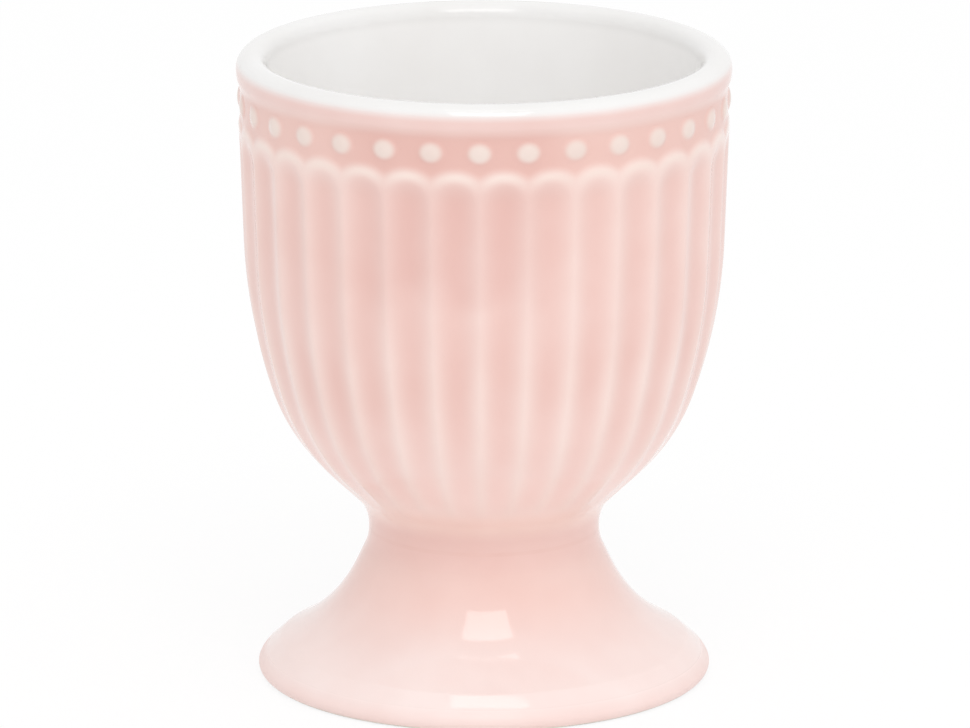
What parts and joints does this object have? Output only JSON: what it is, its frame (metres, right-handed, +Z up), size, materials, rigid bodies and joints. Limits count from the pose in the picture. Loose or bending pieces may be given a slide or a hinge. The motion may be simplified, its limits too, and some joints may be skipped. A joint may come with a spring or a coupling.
{
  "type": "egg cup",
  "caption": "Footed egg cup: a fluted bowl with a sunk beaded band and a rounded lip, on a flared hollow foot.",
  "frame": {"origin": "centre of the foot ring, on the table", "axes": "+Z up along the cup's axis, -Y towards the front in the picture"},
  "size_m": [0.05, 0.05, 0.0647],
  "materials": {
    "pink_glaze": "gloss",
    "foot_glaze": "gloss",
    "seam_glaze": "gloss",
    "white_glaze": "gloss",
    "bead_glaze": "gloss"
  },
  "bodies": {
    "root": {"bowl": "pink_glaze", "foot": "foot_glaze", "slip_joint": "seam_glaze", "lining": "white_glaze", "beads": "bead_glaze"}
  },
  "joints": []
}
